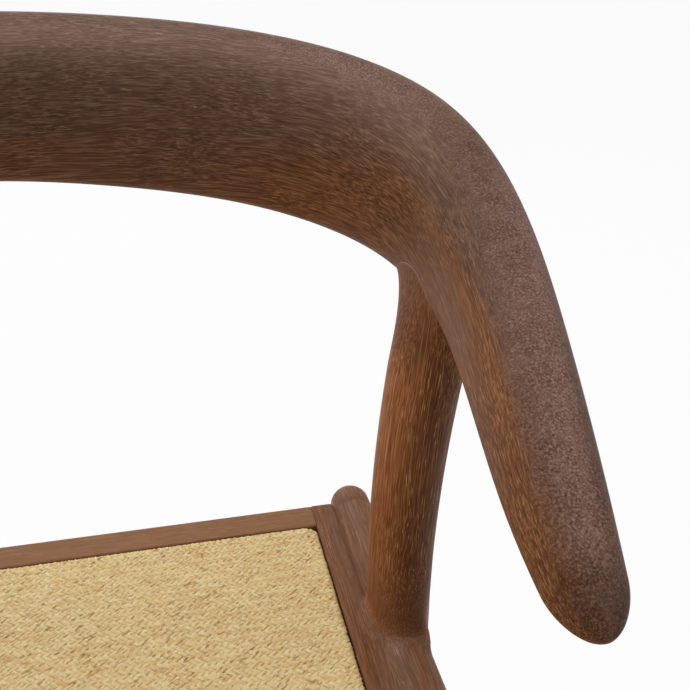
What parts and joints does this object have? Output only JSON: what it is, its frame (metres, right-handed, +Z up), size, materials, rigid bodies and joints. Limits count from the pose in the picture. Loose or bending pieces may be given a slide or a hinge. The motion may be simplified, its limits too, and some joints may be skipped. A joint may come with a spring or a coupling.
{
  "type": "armchair",
  "caption": "Dining armchair with a curved one-band back and arm rail, two curved rear legs carrying it, tapered front legs and a flat woven palm mat seat.",
  "frame": {"origin": "on the floor, under the middle of the chair's box", "axes": "+Z up, -Y the way a sitter faces, +X to the right of someone who looks at the chair from the front"},
  "size_m": [0.584, 0.5202, 0.787],
  "materials": {
    "dark_wood": "satin oiled",
    "pale_wood": "plain sanded",
    "plywood": "plain sanded",
    "palm_mat": "woven palm strips",
    "screw_steel": "zinc plated",
    "glide_plastic": "matt"
  },
  "bodies": {
    "root": {"back_rail": "dark_wood", "left_arm": "dark_wood", "right_arm": "dark_wood", "rail_tenons": "pale_wood", "arm_dowels": "pale_wood", "left_rear_leg": "dark_wood", "right_rear_leg": "dark_wood", "left_front_leg": "dark_wood", "right_front_leg": "dark_wood", "left_outer_bar": "dark_wood", "right_outer_bar": "dark_wood", "left_side_rail": "dark_wood", "right_side_rail": "dark_wood", "rear_seat_rail": "dark_wood", "front_seat_rail": "dark_wood", "frame_dowels": "pale_wood", "bar_screws": "screw_steel", "leg_screws": "screw_steel", "left_cleat": "pale_wood", "right_cleat": "pale_wood", "front_cleat": "pale_wood", "rear_cleat": "pale_wood", "cleat_screws": "screw_steel", "corner_blocks": "pale_wood", "corner_block_screws": "screw_steel", "seat_board": "plywood", "seat_screws": "screw_steel", "seat_mat": "palm_mat", "foot_glides": "glide_plastic", "glide_nails": "screw_steel"}
  },
  "joints": []
}
